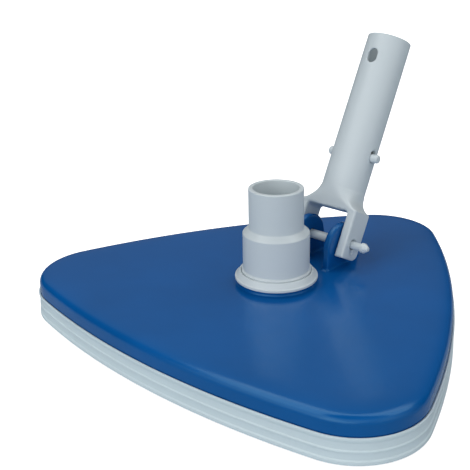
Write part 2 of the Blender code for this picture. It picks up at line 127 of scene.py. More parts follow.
def outline_facts():
    """(corner centre distance, side arc radius, half angle of a corner arc)."""
    centre = TIP_REACH - CORNER_R
    a = centre / 2 - SIDE_REACH
    side = (CORNER_R**2 - a**2 - 0.75 * centre**2) / (2 * (a + CORNER_R))
    back = side - SIDE_REACH
    half = math.atan2(back * math.sin(math.pi / 3), centre + back * math.cos(math.pi / 3))
    return centre, side, half


def corner_angle(k):
    return math.pi / 2 + k * math.tau / 3


def outline(offset, corner_steps=26, side_steps=30):
    """The head's outline, grown by offset, anticlockwise."""
    centre, side, half = outline_facts()
    points = []
    for k in range(3):
        at = corner_angle(k)
        points += arc(polar(MIDDLE, centre, at), CORNER_R + offset, at - half, at + half,
                      corner_steps)
        side_centre = polar(MIDDLE, SIDE_REACH - side, at + math.pi / 3)
        points += arc(side_centre, side + offset, at + half, at + math.tau / 3 - half,
                      side_steps)[1:-1]
    return points


def section(corners, closed, turn=12.0):
    """A path through (across, up, radius) corners, each rounded by an arc of that radius."""
    path = []
    count = len(corners)
    for i, (across, up, radius) in enumerate(corners):
        here = Vector((across, up))
        if radius == 0 or (not closed and i in (0, count - 1)):
            path.append(here)
            continue
        a = Vector(corners[i - 1][:2]) - here
        b = Vector(corners[(i + 1) % count][:2]) - here
        room = min(a.length, b.length) * 0.48
        a.normalize()
        b.normalize()
        half = a.angle(b) / 2
        cut = min(radius / math.tan(half), room)
        centre = here + (a + b).normalized() * (cut / math.cos(half))
        first, last = here + a * cut - centre, here + b * cut - centre
        sweep = math.atan2(first.cross(last), first.dot(last))
        steps = max(2, math.ceil(abs(math.degrees(sweep)) / turn))
        for k in range(steps + 1):
            path.append(centre + Matrix.Rotation(sweep * k / steps, 2) @ first)
    return path


# ---------------------------------------------------------------- meshes

def mesh_object(name, points, faces):
    mesh = bpy.data.meshes.new(name)
    mesh.from_pydata([tuple(p) for p in points], [], faces)
    mesh.validate()
    obj = bpy.data.objects.new(name, mesh)
    bpy.context.scene.collection.objects.link(obj)
    return obj


def rings_object(name, rings, closed, capped=False):
    """Skins a list of equal closed rings. closed joins the last ring to the first."""
    count = len(rings[0])
    points = [p for ring in rings for p in ring]
    faces = []
    spans = len(rings) if closed else len(rings) - 1
    for s in range(spans):
        here, there = s * count, ((s + 1) % len(rings)) * count
        for i in range(count):
            j = (i + 1) % count
            faces.append((here + i, there + i, there + j, here + j))
    if capped:
        faces.append(tuple(range(count)))
        faces.append(tuple(reversed(range(len(points) - count, len(points)))))
    obj = mesh_object(name, points, faces)
    outward(obj)
    return obj


def outward(obj):
    """Turns every face outwards."""
    body = bmesh.new()
    body.from_mesh(obj.data)
    bmesh.ops.remove_doubles(body, verts=body.verts, dist=1e-4)
    bmesh.ops.recalc_face_normals(body, faces=body.faces)
    body.to_mesh(obj.data)
    body.free()


def loft(name, path, closed, capped=False):
    """Carries a path of (offset, height) round the head's outline."""
    rings = [[(x, y, up) for x, y in outline(across)] for across, up in path]
    return rings_object(name, rings, closed, capped)


def lathe(name, path, steps=96, centre=(0.0, 0.0), closed=True):
    """Turns a path of (radius, height) round Z. Without closed, its ends lie on the axis."""
    body = bmesh.new()
    angles = [math.tau * i / steps for i in range(steps)]
    rings = []
    for radius, up in path:
        if radius < 1e-6:
            rings.append([body.verts.new((centre[0], centre[1], up))] * steps)
        else:
            rings.append([body.verts.new((*polar(centre, radius, t), up)) for t in angles])
    pairs = list(zip(rings, rings[1:] + rings[:1])) if closed else list(zip(rings, rings[1:]))
    for here, there in pairs:
        for i in range(steps):
            j = (i + 1) % steps
            corners = []
            for v in (here[i], there[i], there[j], here[j]):
                if v not in corners:
                    corners.append(v)
            body.faces.new(corners)
    bmesh.ops.recalc_face_normals(body, faces=body.faces)
    mesh = bpy.data.meshes.new(name)
    body.to_mesh(mesh)
    body.free()
    obj = bpy.data.objects.new(name, mesh)
    bpy.context.scene.collection.objects.link(obj)
    return obj


def boolean(obj, operation, *others):
    """Applies a Boolean of obj with each helper and removes the helper."""
    for other in others:
        step = obj.modifiers.new("step", "BOOLEAN")
        step.operation = operation
        step.solver = "MANIFOLD"
        step.object = other
        graph = bpy.context.evaluated_depsgraph_get()
        result = bpy.data.meshes.new_from_object(obj.evaluated_get(graph))
        obj.modifiers.clear()
        obj.data = result
        bpy.data.objects.remove(other, do_unlink=True)
    return obj


def cylinder(name, radius, low, high, centre=(0.0, 0.0), steps=64):
    path = [(0.0, high), (radius, high), (radius, low), (0.0, low)]
    return lathe(name, path, steps, centre, closed=False)


def bar(name, start, end, half_width, low, high, draft=0.0):
    """A rib between two points, narrower at its low edge by draft on each side."""
    along = (Vector(end) - Vector(start)).normalized()
    rings = []
    for up, half in ((high, half_width), (low, half_width - draft)):
        across = Vector((-along.y, along.x)) * half
        push = along * (half - half_width)
        rings.append([(*(Vector(p) + side * across + way * push), up) for p, side, way in
                      ((start, -1, -1), (end, -1, 1), (end, 1, 1), (start, 1, -1))])
    return rings_object(name, rings, closed=False, capped=True)


def slab(name, points, low, high, edge, steps=3):
    """A prism on an anticlockwise outline, with round rims of radius edge."""
    normals = []
    for i, here in enumerate(points):
        a = Vector(here) - Vector(points[i - 1])
        b = Vector(points[(i + 1) % len(points)]) - Vector(here)
        out = Vector((a.y, -a.x)).normalized() + Vector((b.y, -b.x)).normalized()
        normals.append(out * (2 / out.length_squared))
    turns = [math.pi / 2 * i / steps for i in range(steps + 1)]
    levels = [(edge * (1 - math.sin(t)), low + edge * (1 - math.cos(t))) for t in turns]
    levels += [(edge * (1 - math.sin(t)), high - edge * (1 - math.cos(t))) for t in reversed(turns)]
    rings = [[(p[0] - n.x * inset, p[1] - n.y * inset, up) for p, n in zip(points, normals)]
             for inset, up in levels]
    return rings_object(name, rings, closed=False, capped=True)


# ---------------------------------------------------------------- blended solids

def flat_box(u, v, half_u, half_v, radius=0.0):
    """Distance to a rectangle with round corners."""
    du, dv = np.abs(u) - half_u + radius, np.abs(v) - half_v + radius
    outside = np.hypot(np.maximum(du, 0), np.maximum(dv, 0))
    return outside + np.minimum(np.maximum(du, dv), 0) - radius


def polygon(u, v, points):
    """Distance to a filled polygon."""
    best = np.full(np.shape(u), np.inf)
    sign = np.ones(np.shape(u))
    for (au, av), (bu, bv) in zip(points, points[1:] + points[:1]):
        eu, ev = bu - au, bv - av
        wu, wv = u - au, v - av
        t = np.clip((wu * eu + wv * ev) / (eu * eu + ev * ev), 0, 1)
        best = np.minimum(best, (wu - eu * t) ** 2 + (wv - ev * t) ** 2)
        above = v >= av
        below = v < bv
        left = eu * wv > ev * wu
        crosses = (above & below & left) | (~above & ~below & ~left)
        sign = np.where(crosses, -sign, sign)
    return sign * np.sqrt(best)


def fuse(a, b, radius):
    """Union with a fillet."""
    inner = np.hypot(np.maximum(radius - a, 0), np.maximum(radius - b, 0))
    return np.maximum(radius, np.minimum(a, b)) - inner


def meet(a, b, radius):
    """Intersection with a rounded edge."""
    outer = np.hypot(np.maximum(radius + a, 0), np.maximum(radius + b, 0))
    return np.minimum(-radius, np.maximum(a, b)) + outer


def slopes(field, points, reach=0.02):
    """Gradient of field at each point."""
    columns = []
    for axis in range(3):
        step = np.zeros(3)
        step[axis] = reach
        columns.append((field(*(points + step).T) - field(*(points - step).T)) / (2 * reach))
    return np.stack(columns, -1)


def surface_net(name, field, xs, ys, zs):
    """Closed mesh of field = 0: one point in each grid cell that it crosses, pulled onto it."""
    grid = np.stack(np.meshgrid(xs, ys, zs, indexing="ij"), -1)
    value = field(grid[..., 0], grid[..., 1], grid[..., 2])
    inside = value < 0
    cells = tuple(n - 1 for n in inside.shape)
    count = np.zeros(cells, np.int8)
    for i, j, k in product((0, 1), repeat=3):
        count += inside[i:cells[0] + i, j:cells[1] + j, k:cells[2] + k]
    mixed = (count > 0) & (count < 8)
    place = np.argwhere(mixed)
    index = np.full(cells, -1)
    index[mixed] = np.arange(len(place))
    total = np.zeros((len(place), 3))
    hits = np.zeros(len(place))
    for axis in range(3):
        along = np.eye(3, dtype=int)[axis]
        for i, j in product((0, 1), repeat=2):
            start = place + np.insert((i, j), axis, 0)
            end = start + along
            a, b = value[tuple(start.T)], value[tuple(end.T)]
            cross = (a < 0) != (b < 0)
            share = np.where(cross, a / np.where(cross, a - b, 1), 0)[:, None]
            p, q = grid[tuple(start.T)], grid[tuple(end.T)]
            total[cross] += (p + share * (q - p))[cross]
            hits[cross] += 1
    points = total / hits[:, None]
    for _ in range(4):
        slope = slopes(field, points)
        off = field(*points.T) / np.maximum((slope**2).sum(1), 0.3)
        points -= slope * np.clip(off, -0.3, 0.3)[:, None]
    faces = []
    for axis in range(3):
        u, v = (axis + 1) % 3, (axis + 2) % 3
        along = np.eye(3, dtype=int)
        low = [slice(1, n - 1) for n in inside.shape]
        high = list(low)
        low[axis], high[axis] = slice(0, inside.shape[axis] - 1), slice(1, inside.shape[axis])
        here, there = inside[tuple(low)], inside[tuple(high)]
        shift = np.ones(3, dtype=int)
        shift[axis] = 0
        for rising in (True, False):
            edges = np.argwhere(here & ~there if rising else there & ~here) + shift
            ring = [edges, edges - along[u], edges - along[u] - along[v], edges - along[v]]
            quad = np.stack([index[tuple(c.T)] for c in ring], -1)
            faces.append(quad if rising else quad[:, ::-1])
    faces = np.concatenate(faces)
    return mesh_object(name, points, faces.tolist())


def steps_between(low, high, step):
    """Even places from low to high, about one step apart."""
    return np.linspace(low, high, max(2, round((high - low) / step)) + 1)


# ---------------------------------------------------------------- pieces of the head

def crown():
    """Path of (offset, height) from the flat middle out to the foot of the cover's round edge."""
    inward = [16.0, 13.5, 11.0, 9.0, 7.2, 5.8, 4.6, 3.6, 2.8]
    tilt = [0.0, 0.6, 1.5, 2.6, 4.2, 6.2, 8.8, 12.0, 16.0]
    path = [Vector((-inward[0], TOP))]
    for (d0, t0), (d1, t1) in zip(zip(inward, tilt), zip(inward[1:], tilt[1:])):
        drop = (d0 - d1) * math.tan(math.radians((t0 + t1) / 2))
        path.append(path[-1] + Vector((d0 - d1, -drop)))
    radius = inward[-1] / (1 - math.sin(math.radians(tilt[-1])))
    start = math.radians(tilt[-1])
    centre = path[-1] - Vector((math.sin(start), math.cos(start))) * radius
    for i in range(1, 11):
        at = start + (math.pi / 2 - start) * i / 10
        path.append(centre + Vector((math.sin(at), math.cos(at))) * radius)
    return path


def make_cover():
    path = crown() + section([
        (0.0, 18.0, 0), (0.0, RIM, 0.2), (-0.4, RIM, 0), (-0.4, 13.9, 0), (-3.1, 13.9, 0),
        (-3.1, 4.0, 0.3), (-5.6, 4.0, 0.3), (-5.6, 17.6, 0), (-5.6, 21.3, 1.0), (-9.0, 21.3, 0)],
        closed=False, turn=8)
    cover = loft("cover_shell", path, closed=False, capped=True)
    boss = section([
        (19.4, 27.4, 0), (21.8, 27.4, 0.5), (21.8, GROUND, 1.5), (25.0, GROUND, 0),
        (25.0, TOP - 1.5, 0), (19.4, TOP - 1.5, 0)], closed=True, turn=10)
    boolean(cover, "DIFFERENCE", cylinder("bore", 19.5, 0.0, 60.0, HOSE, 96))
    boolean(cover, "UNION", lathe("boss", boss, 96, HOSE), ears())
    pillar = section([(2.0, 12.3, 0.3), (4.2, 12.3, 0.4), (4.2, 21.3, 1.2), (6.0, 21.3, 0),
                      (6.0, 21.8, 0), (2.0, 21.8, 0)], closed=True, turn=30)
    for i, place in enumerate(cover_screw_places()):
        boolean(cover, "UNION", lathe(f"pillar_{i}", pillar, 24, place))
    return cover


def cover_screw_places():
    tip, side = COVER_SCREW_REACH
    tips = [polar(MIDDLE, tip, corner_angle(k)) for k in range(3)]
    return tips + [polar(MIDDLE, side, corner_angle(k) + math.pi / 3) for k in range(3)]


def weight_screw_places():
    return [polar(MIDDLE, WEIGHT_SCREW_REACH, corner_angle(k)) for k in range(3)]


def ear_outline():
    """Side view of an ear as (Y, Z) points."""
    centre = (PIVOT.y - 1.5, PIVOT.z - 1.5)
    arc_points = arc(centre, 14.0, math.radians(22), math.radians(186), 40)
    return [(PIVOT.y + 16.0, TOP - 3.0), *arc_points, (centre[0] - 15.0, TOP - 3.0)]


def ears():
    """Both ears with the patch of cover that they blend into."""
    outline_points = ear_outline()

    def field(x, y, z):
        side = polygon(y, z, outline_points)
        plate = meet(side, np.abs(np.abs(x) - EAR_X) - EAR_HALF, 1.0)
        solid = fuse(plate, z - GROUND, 1.3)
        bore = np.hypot(y - PIVOT.y, z - PIVOT.z) - EAR_BORE_R
        solid = meet(solid, -bore, 0.3)
        patch = flat_box(x, y - 26.0, 21.0, 24.0, 1.0)
        return np.maximum(np.maximum(solid, patch), TOP - 1.4 - z)

    return surface_net("ears", field, steps_between(-22, 22, 0.55), steps_between(1, 51, 0.55),
                       np.concatenate([steps_between(TOP - 2.4, TOP + 3, 0.35),
                                       steps_between(TOP + 3, 53.0, 0.55)[1:]]))


def make_skirt():
    """Vinyl band with a lip under the cover's edge, beads outside and a foot that hooks inwards."""
    path = section([
        (-2.8, 13.6, 0), (-0.2, 13.6, 0), (0.1, 14.3, 0.1), (0.4, 14.6, 0.2), (1.15, 14.5, 0.45),
        (1.1, 13.0, 0.6), (0.6, 11.9, 0.6), (0.55, 8.3, 0.4), (1.0, 7.8, 0.25), (1.0, 7.0, 0.3),
        (0.7, 6.5, 0.4), (0.75, 3.4, 0.4), (1.35, 2.8, 0.25), (1.4, 0.8, 0.4),
        (-6.6, 0.8, 0.3), (-6.6, 3.7, 0.3), (-2.8, 3.7, 0)], closed=True, turn=18)
    return loft("skirt_band", path, closed=True)


def make_cuff():
    """Hose cuff: two steps above, and a flange at its foot inside the collar."""
    path = section([
        (12.9, 81.2, 0.5), (15.5, 81.2, 0.7), (15.5, 57.9, 0.9), (19.0, 55.0, 0.9),
        (19.0, 33.6, 1.0), (19.9, 32.9, 0.3), (19.9, 31.9, 0.2), (19.0, 31.7, 0),
        (19.0, 19.6, 0), (22.0, 19.6, 0.3), (22.0, 17.6, 0.3), (16.5, 17.6, 0.3),
        (16.5, 50.0, 1.5), (12.9, 56.0, 1.5)],
        closed=True, turn=10)
    return lathe("hose_cuff_body", path, 128, HOSE)


def make_collar():
    """Flared ring that stands on the boss and holds the cuff."""
    path = section([
        (19.4, 31.4, 0), (20.2, 31.4, 0), (20.2, 32.3, 0.25), (21.0, 32.3, 0.6), (22.7, 29.7, 0.6),
        (23.1, 29.35, 0.1), (23.7, 29.2, 0.3), (23.7, 27.7, 0.35), (19.4, 27.7, 0)],
        closed=True, turn=12)
    return lathe("swivel_ring", path, 128, HOSE)


def make_pin():
    """Pin across both ears and both legs, with a cone at +X and a flat head at -X."""
    path = section([
        (0.0, 31.3, 0), (1.3, 31.3, 0.4), (3.0, 28.6, 0.6), (3.0, 26.9, 0.4), (2.3, 26.5, 0.3),
        (2.3, 19.0, 0), (2.8, 18.6, 0), (2.8, -21.1, 0), (4.8, -21.1, 0.3), (4.8, -23.0, 0.8),
        (0.0, -23.7, 0)], closed=False, turn=15)
    pin = lathe("pivot_pin_body", path, 40, closed=False)
    pin.data.transform(Matrix.Translation(PIVOT) @ Matrix.Rotation(math.pi / 2, 4, "Y"))
    return pin


# ---------------------------------------------------------------- under the cover

def make_plate():
    """Bottom plate: a sheet with a round edge, a throat, and ribs to rings round the screws."""
    path = section([(-PLATE_INSET - 4, PLATE_FOOT, 0), (-PLATE_INSET, PLATE_FOOT, 0.6),
                    (-PLATE_INSET, PLATE_TOP, 0.4), (-PLATE_INSET - 4, PLATE_TOP, 0)],
                   closed=False, turn=30)
    plate = loft("floor_plate", path, closed=False, capped=True)
    wall = section([(15.0, RIB_FOOT, 0), (18.2, RIB_FOOT, 0.5), (18.2, PLATE_FOOT, 0.6),
                    (20.0, PLATE_FOOT, 0), (22.0, PLATE_TOP, 0), (23.4, PLATE_TOP, 0),
                    (22.0, PLATE_TOP + 1.4, 0.9), (22.0, 17.3, 0.3), (15.0, 17.3, 0)],
                   closed=True, turn=20)
    boolean(plate, "UNION", lathe("throat", wall, 96, HOSE))
    for k, place in enumerate(cover_screw_places()):
        ring = section([(3.0, RIB_FOOT, 0), (5.4, RIB_FOOT, 0.4), (5.4, PLATE_FOOT, 0.5),
                        (6.2, PLATE_FOOT + 0.5, 0), (3.0, PLATE_FOOT + 0.5, 0)],
                       closed=True, turn=30)
        boolean(plate, "UNION", lathe(f"screw_ring_{k}", ring, 32, place))
        along = (Vector(place) - Vector(HOSE)).normalized()
        near = Vector(HOSE) + along * 17.0
        far = Vector(place) - along * 4.6
        boolean(plate, "UNION", bar(f"rib_{k}", near, far, 1.1, RIB_FOOT + 0.3,
                                    PLATE_FOOT + 0.6, 0.3))
    throat = section([(0.0, 0.0, 0), (THROAT_R + 0.9, 0.0, 0), (THROAT_R + 0.9, RIB_FOOT, 0),
                      (THROAT_R, RIB_FOOT + 1.6, 0.8), (THROAT_R, 30.0, 0), (0.0, 30.0, 0)],
                     closed=False, turn=15)
    boolean(plate, "DIFFERENCE", lathe("throat_bore", throat, 96, HOSE, closed=False))
    for k, place in enumerate(cover_screw_places()):
        bore = [(0.0, 0.0), (4.0, 0.0), (4.0, PLATE_FOOT), (2.0, PLATE_FOOT), (2.0, 20.0),
                (0.0, 20.0)]
        boolean(plate, "DIFFERENCE", lathe(f"screw_bore_{k}", bore, 32, place, closed=False))
    return plate


def make_screw(name, place, seat, length):
    """Pan head screw with a cross recess, point up."""
    path = section([(0.0, seat + length, 0), (1.6, seat + length - 0.9, 0.3), (1.6, seat - 0.3, 0),
                    (3.4, seat - 0.3, 0.15), (3.4, seat - 1.3, 0.6), (2.2, seat - 2.05, 0.9),
                    (0.0, seat - 2.2, 0)], closed=False, turn=20)
    screw = lathe(name, path, 32, place, closed=False)
    here = Vector(place)
    for k in range(2):
        reach = Vector(polar((0.0, 0.0), 1.9, 0.4 + k * math.pi / 2))
        recess = bar("recess", here + reach, here - reach, 0.38, seat - 2.6, seat - 1.1)
        boolean(screw, "DIFFERENCE", recess)
    return screw


def make_weight(k):
    """Cast weight in corner k, round towards the tip, with a counterbored hole."""
    at = corner_angle(k)
    points = arc(polar(MIDDLE, 96.5, at), 20.0, at - math.radians(72), at + math.radians(72), 24)
    for reach, across in ((56.0, 37.0), (45.0, 30.0), (45.0, -30.0), (56.0, -37.0)):
        foot = polar(MIDDLE, reach, at)
        points.append((foot[0] - across * math.sin(at), foot[1] + across * math.cos(at)))
    weight = slab(f"cast_weight_{k + 1}", points, WEIGHT_FOOT, WEIGHT_TOP, 1.2)
    place = weight_screw_places()[k]
    hole = [(0.0, 0.0), (4.4, 0.0), (4.4, WEIGHT_FOOT), (3.7, 13.2), (3.7, WEIGHT_SEAT),
            (2.0, WEIGHT_SEAT), (2.0, 30.0), (0.0, 30.0)]
    return boolean(weight, "DIFFERENCE", lathe("hole", hole, 32, place, closed=False))


def make_seal():
    """Flat ring on the cuff's flange, with a groove round its face."""
    path = section([(19.3, 19.9, 0.25), (22.0, 19.9, 0.25), (22.0, 21.0, 0.25), (21.2, 21.0, 0.1),
                    (20.9, 20.6, 0.2), (20.4, 20.6, 0.2), (20.1, 21.0, 0.1), (19.3, 21.0, 0.25)],
                   closed=True, turn=25)
    return lathe("lip_seal", path, 96, HOSE)


def brush_arc(k):
    """(centre, radius, middle angle) of the line that brush k follows inside the skirt."""
    _, side, _ = outline_facts()
    at = corner_angle(k) + math.pi / 3
    return polar(MIDDLE, SIDE_REACH - side, at), side - BRUSH_INSET, at


def make_brush_back(k):
    """Bent strip with round edges and ends, channelled along its foot to hold the bristles."""
    centre, radius, at = brush_arc(k)
    path = section([(-4.0, 4.8, 0.3), (-3.3, 4.6, 0.2), (-3.0, 5.0, 0.1), (3.0, 5.0, 0.1),
                    (3.3, 4.6, 0.2), (4.0, 4.8, 0.3), (4.0, 8.7, 0.5), (-4.0, 8.7, 0.5)],
                   closed=True, turn=30)
    reach = BRUSH_HALF_ANGLE * radius
    # Places along the strip, close together over the last 2 mm, where its end is rounded.
    turns = (12, 30, 50, 70, 90)
    start = [-reach + 2.0 * (1 - math.cos(math.radians(a))) for a in turns]
    finish = [reach - 2.0 * (1 - math.cos(math.radians(a))) for a in reversed(turns)]
    rings = []
    for along in (*start, *steps_between(-reach + 4.0, reach - 4.0, 5.0), *finish):
        left = max(0.0, 2.0 - (reach - abs(along))) / 2.0
        width = (2.0 + 2.0 * math.sqrt(1 - left * left)) / 4.0
        rings.append([(*polar(centre, radius + across * width, at + along / radius), up)
                      for across, up in path])
    return rings_object(f"brush_strip_{k + 1}", rings, closed=False, capped=True)


def make_bristles(k):
    """Three staggered rows of nylon tufts that splay a little towards the floor."""
    centre, radius, middle = brush_arc(k)
    draw = random.Random(40 + k)
    reach = BRUSH_HALF_ANGLE * radius - 2.6
    points, faces = [], []
    for row, across in enumerate((-1.9, 0.0, 1.9)):
        shift = 0.75 * (row % 2)
        for along in steps_between(-reach + shift, reach - shift, 3.1):
            for f in range(7):  # six bristles round one in the middle
                turn = math.tau * f / 6 + draw.uniform(-0.3, 0.3)
                lean = 0.0 if f == 6 else 1.0
                splay = 0.62 + draw.uniform(0, 0.12)
                ends = []
                for spread, thick, up in ((0.42, 0.21, 5.2), (splay, 0.15, 0.05)):
                    du, dv = (lean * spread * math.cos(turn), lean * spread * math.sin(turn))
                    ends.append((across + du, along + dv, thick, up + draw.uniform(0, 0.15)))
                first = len(points)
                for u, v, thick, up in ends:
                    for corner in range(4):
                        cu, cv = polar((u, v), thick, corner * math.pi / 2)
                        points.append((*polar(centre, radius + cu, middle + cv / radius), up))
                top = [first + i for i in range(4)]
                foot = [first + 4 + i for i in range(4)]
                faces += [top[::-1], foot]
                faces += [(top[i], top[(i + 1) % 4], foot[(i + 1) % 4], foot[i]) for i in range(4)]
    bristles = mesh_object(f"bristles_{k + 1}", points, faces)
    outward(bristles)
    return bristles


# ---------------------------------------------------------------- handle

def handle_matrix():
    return Matrix.Translation(PIVOT) @ Matrix.Rotation(-LEAN, 4, "X")


def fork_field(x, y, z):
    """The handle in one piece: two legs, the flared body above them and the hollow tube."""
    ax = np.abs(x)
    back = y - TUBE_Y
    radius = TUBE_R - TUBE_TAPER * (z - 18)
    heel = (y - LEG_Y - (z - WEB_BEND)) * 0.7071
    tube = meet(meet(np.hypot(x, back) - radius, heel, 1.5), TUBE_FOOT - z, 0.8)
    # Legs, and the body between them and the tube.
    side_y = np.maximum(y - (LEG_Y - LEG_CORNER), 0)
    side_z = np.maximum(LEG_FOOT + LEG_CORNER - z, 0)
    side_view = np.where((side_y > 0) & (side_z > 0), np.hypot(side_y, side_z) - LEG_CORNER,
                         np.maximum(y - LEG_Y, LEG_FOOT - z))
    body = meet(meet(side_view, ax - LEG_X, 0.9), z - BODY_TOP, 3.0)
    gap = flat_box(x, z + 11.0, GAP_X, 29.24, 2.2)
    body = meet(body, -gap, 0.7)
    solid = fuse(tube, body, 0.5)
    # Skin: round at the tube, flaring and squaring off down to the legs.
    drop = np.clip(BODY_TOP - z, 0, 12.8)
    power = 2 * np.exp(0.0311 * drop**1.63)
    sweep = np.sqrt(np.maximum(FLARE_R**2 - np.clip(FLARE_UP - z, 0, FLARE_R) ** 2, 0))
    wide = np.maximum(fuse(FLARE_X - sweep, LEG_X, 2.0), radius)
    skin = (ax / wide) ** power + (np.maximum(-back, 0) / radius) ** power
    solid = meet(solid, (skin ** (1 / power) - 1) * wide, 0.7)
    # Flat web between the legs, which runs out on the front of the tube.
    web = (-LEG_Y - y) * 0.988 - np.maximum(z - WEB_BEND, 0) * 0.155
    solid = meet(meet(solid, web, 1.5), z - TUBE_TIP, 0.35)
    bore = np.maximum(np.hypot(x, back) - BORE_R, BORE_FOOT - z)
    solid = meet(solid, -bore, 0.4)
    # Slot in front near the tip, and a hole on each side for a button.
    slot = flat_box(x, z - SLOT_UP, 3.1, 4.35, 3.0)
    solid = meet(solid, -np.maximum(slot, back), 0.35)
    rise = np.clip(z - BUTTON_UP, 0, BUTTON_RISE)
    hole = np.hypot(back, z - BUTTON_UP - rise) - 2.8
    solid = meet(solid, -hole, 0.3)
    # Hole for the pin, in a keyhole recess on each leg's outer face.
    pin = np.hypot(y, z)
    solid = meet(solid, 3.1 - pin, 0.3)
    keyhole = np.minimum(pin - 3.5, flat_box(y, z + 3.6, 1.6, 1.9, 1.5))
    return meet(solid, -np.maximum(keyhole, 20.2 - ax), 0.6)


def make_fork():
    zs = np.concatenate([
        steps_between(-10.2, 42.0, 0.5), steps_between(42.0, 49.0, 1.4)[1:],
        steps_between(49.0, 59.0, 0.5)[1:], steps_between(59.0, 105.5, 1.55)[1:],
        steps_between(105.5, 118.5, 0.5)[1:], steps_between(118.5, 124.5, 1.2)[1:],
        steps_between(124.5, 127.2, 0.3)[1:]])
    fork = surface_net("fork_handle", fork_field, steps_between(-21.9, 21.9, 0.5),
                       steps_between(-11.6, 18.6, 0.5), zs)
    fork.data.transform(handle_matrix())
    return fork


def make_button(side):
    """Round-ended button in the tube's wall: side is 1 for the one at +X and -1 for -X."""
    path = section([(0.0, 17.9, 0), (2.6, 17.9, 2.4), (2.6, 10.3, 0), (0.0, 10.3, 0)],
                   closed=False, turn=9)
    word = "right" if side > 0 else "left"
    button = lathe(f"snap_button_{word}", path, 40, closed=False)
    turn = Matrix.Rotation(side * math.pi / 2, 4, "Y")
    button.data.transform(handle_matrix() @ Matrix.Translation((0, TUBE_Y, BUTTON_UP)) @ turn)
    return button


def make_spring(name, source):
    """Strip of the steel clip: the frame's own shape, with its edges rolled."""
    sheet = bmesh.new()
    sheet.from_mesh(frame["nodes"][source].data)
    bmesh.ops.remove_doubles(sheet, verts=sheet.verts, dist=1e-6)
    bmesh.ops.dissolve_limit(sheet, angle_limit=math.radians(1), verts=sheet.verts,
                             edges=sheet.edges)
    mesh = bpy.data.meshes.new(name)
    sheet.to_mesh(mesh)
    sheet.free()
    mesh.transform(Matrix.Scale(1 / MM, 4))
    strip = bpy.data.objects.new(name, mesh)
    bpy.context.scene.collection.objects.link(strip)
    rolled = strip.modifiers.new("rolled_edges", "BEVEL")
    rolled.width = 0.2 * MM
    rolled.segments = 3
    rolled.angle_limit = math.radians(60)
    return strip


# ---------------------------------------------------------------- materials

def node(mat, kind, **values):
    made = mat.node_tree.nodes.new(kind)
    for name, value in values.items():
        if hasattr(made, name):
            setattr(made, name, value)
        else:
            made.inputs[name.replace("_", " ")].default_value = value
    return made


CLOUD_SCALE = 28.0
GRAIN_DEPTH, GRAIN_STRENGTH = 0.00004, 0.25  # depth in metres
NOISE_LOW, NOISE_HIGH = 0.3, 0.7  # the span that most of the noise lies in


def finish_material(name, colour, roughness, metallic=0.0, mottle=0.06, rough_swing=0.05,
                    grain=900.0, tint=(1.0, 1.0, 1.0)):
    """Moulded or cast finish: faint cloudy colour, uneven gloss and a fine surface grain."""
    mat = bpy.data.materials.new(name)
    mat.use_nodes = True
    link = mat.node_tree.links.new
    shader = mat.node_tree.nodes["Principled BSDF"]
    shader.inputs["Metallic"].default_value = metallic
    shader.inputs["Specular Tint"].default_value = (*tint, 1)
    place = node(mat, "ShaderNodeTexCoord")
    clouds = node(mat, "ShaderNodeTexNoise", Scale=CLOUD_SCALE, Detail=3.0, Roughness=0.5)
    link(place.outputs["Object"], clouds.inputs["Vector"])
    ramp = node(mat, "ShaderNodeValToRGB")
    low, high = ramp.color_ramp.elements
    low.position, high.position = NOISE_LOW, NOISE_HIGH
    low.color = (*[c * (1 - mottle) for c in colour], 1)
    high.color = (*[c * (1 + mottle) for c in colour], 1)
    link(clouds.outputs["Fac"], ramp.inputs["Fac"])
    link(ramp.outputs["Color"], shader.inputs["Base Color"])
    fine = node(mat, "ShaderNodeTexNoise", Scale=grain, Detail=2.0, Roughness=0.6)
    link(place.outputs["Object"], fine.inputs["Vector"])
    gloss = node(mat, "ShaderNodeMapRange")
    gloss.inputs["From Min"].default_value = NOISE_LOW
    gloss.inputs["From Max"].default_value = NOISE_HIGH
    gloss.inputs["To Min"].default_value = max(0.02, roughness - rough_swing)
    gloss.inputs["To Max"].default_value = roughness + rough_swing
    link(clouds.outputs["Fac"], gloss.inputs["Value"])
    link(gloss.outputs["Result"], shader.inputs["Roughness"])
    bump = node(mat, "ShaderNodeBump", Strength=GRAIN_STRENGTH, Distance=GRAIN_DEPTH)
    link(fine.outputs["Fac"], bump.inputs["Height"])
    link(bump.outputs["Normal"], shader.inputs["Normal"])
    return mat


FINISHES = {
    "blue_shell": dict(colour=(0.002, 0.090, 0.325), roughness=0.19, mottle=0.05, rough_swing=0.01,
                       tint=(0.42, 0.88, 1.0)),
    "plate_blue": dict(colour=(0.016, 0.06, 0.18), roughness=0.42),
    "grey_plastic": dict(colour=(0.615, 0.69, 0.725), roughness=0.32, mottle=0.006,
                         rough_swing=0.01),
    "skirt_vinyl": dict(colour=(0.665, 0.785, 0.835), roughness=0.36, mottle=0.012,
                        rough_swing=0.01),
    "bristle_nylon": dict(colour=(0.75, 0.78, 0.80), roughness=0.55),
    "seal_rubber": dict(colour=(0.02, 0.02, 0.02), roughness=0.6),
    "ballast_iron": dict(colour=(0.12, 0.12, 0.12), roughness=0.6, metallic=0.8, grain=400.0),
    "stainless": dict(colour=(0.60, 0.60, 0.58), roughness=0.25, metallic=1.0, mottle=0.02)}
BY_SLOT = {slot: finish_material(slot, **finish) for slot, finish in FINISHES.items()}


